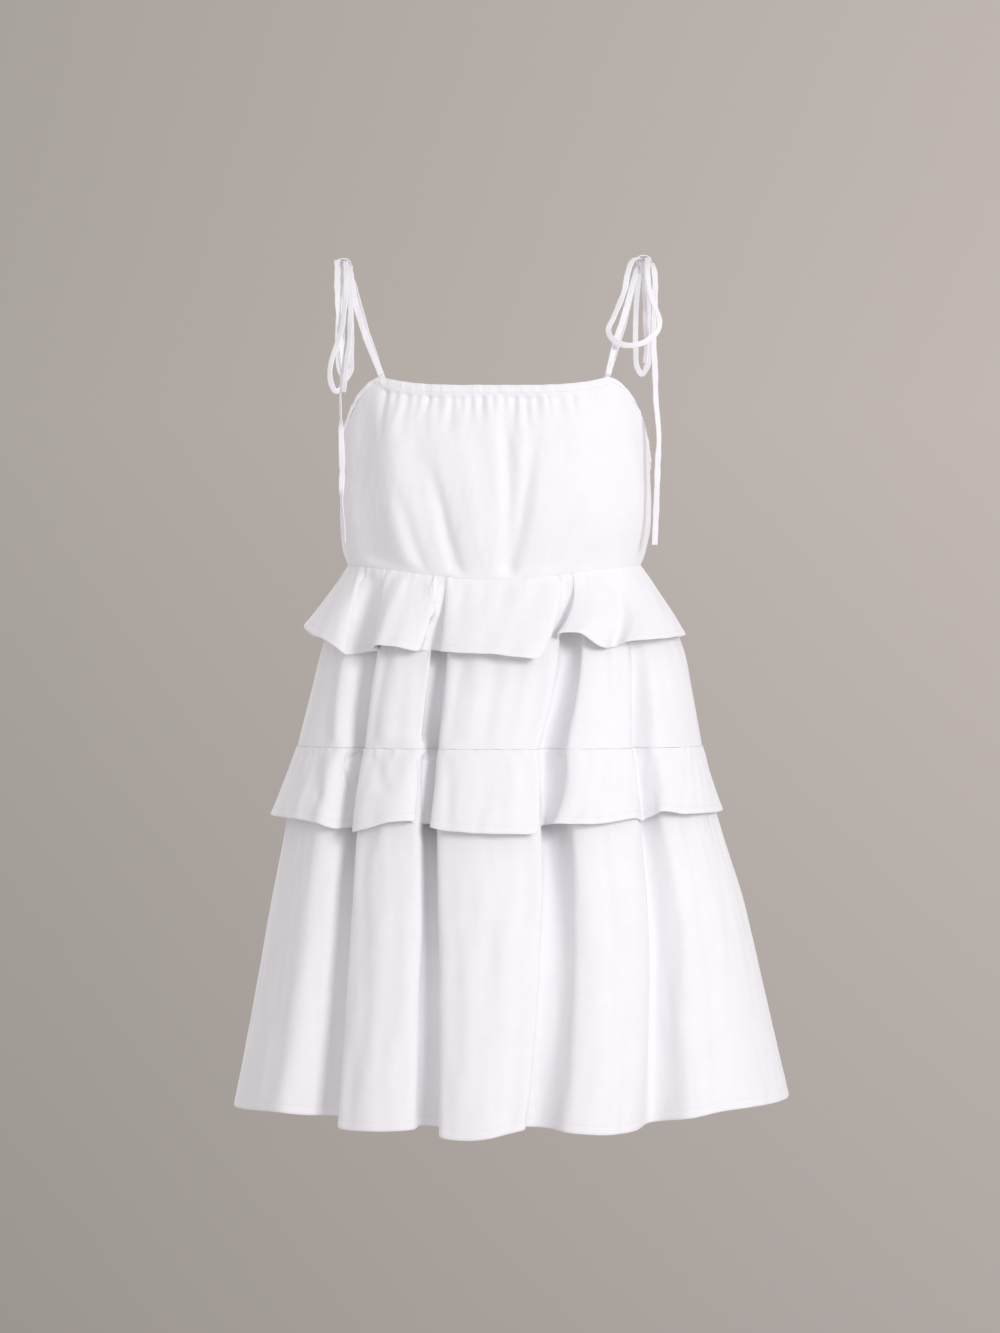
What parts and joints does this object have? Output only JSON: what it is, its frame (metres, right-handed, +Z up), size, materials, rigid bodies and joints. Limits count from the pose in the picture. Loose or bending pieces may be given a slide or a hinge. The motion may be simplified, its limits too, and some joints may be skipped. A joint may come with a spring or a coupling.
{
  "type": "mini dress",
  "caption": "White cotton tiered mini dress with a gathered square-neck bodice, ruffled waist and tier seams, and shoulder straps tied in bows.",
  "frame": {"origin": "midway between the tops of the two shoulders, where the wearer holds the dress up by its straps", "axes": "+Z up along the body as worn, the dress's front faces -Y, the wearer's right side as seen from the front is -X"},
  "size_m": [0.5256, 0.4186, 0.8053],
  "materials": {
    "white_cotton": "matte plain-woven cotton"
  },
  "bodies": {
    "root": {"armhole_binding_left": "white_cotton", "armhole_binding_right": "white_cotton", "bodice_back": "white_cotton", "bodice_front": "white_cotton", "bow_loop_back_left": "white_cotton", "bow_loop_back_right": "white_cotton", "bow_loop_front_left": "white_cotton", "bow_loop_front_right": "white_cotton", "knot_left": "white_cotton", "knot_right": "white_cotton", "lower_skirt_back": "white_cotton", "lower_skirt_front": "white_cotton", "neck_casing_back": "white_cotton", "neck_casing_front": "white_cotton", "peplum_back": "white_cotton", "peplum_front": "white_cotton", "ruffle_back": "white_cotton", "ruffle_front": "white_cotton", "strap_back_left": "white_cotton", "strap_back_right": "white_cotton", "strap_front_left": "white_cotton", "strap_front_right": "white_cotton", "tie_tail_long_left": "white_cotton", "tie_tail_long_right": "white_cotton", "tie_tail_short_left": "white_cotton", "tie_tail_short_right": "white_cotton", "upper_skirt_back": "white_cotton", "upper_skirt_front": "white_cotton"}
  },
  "joints": []
}
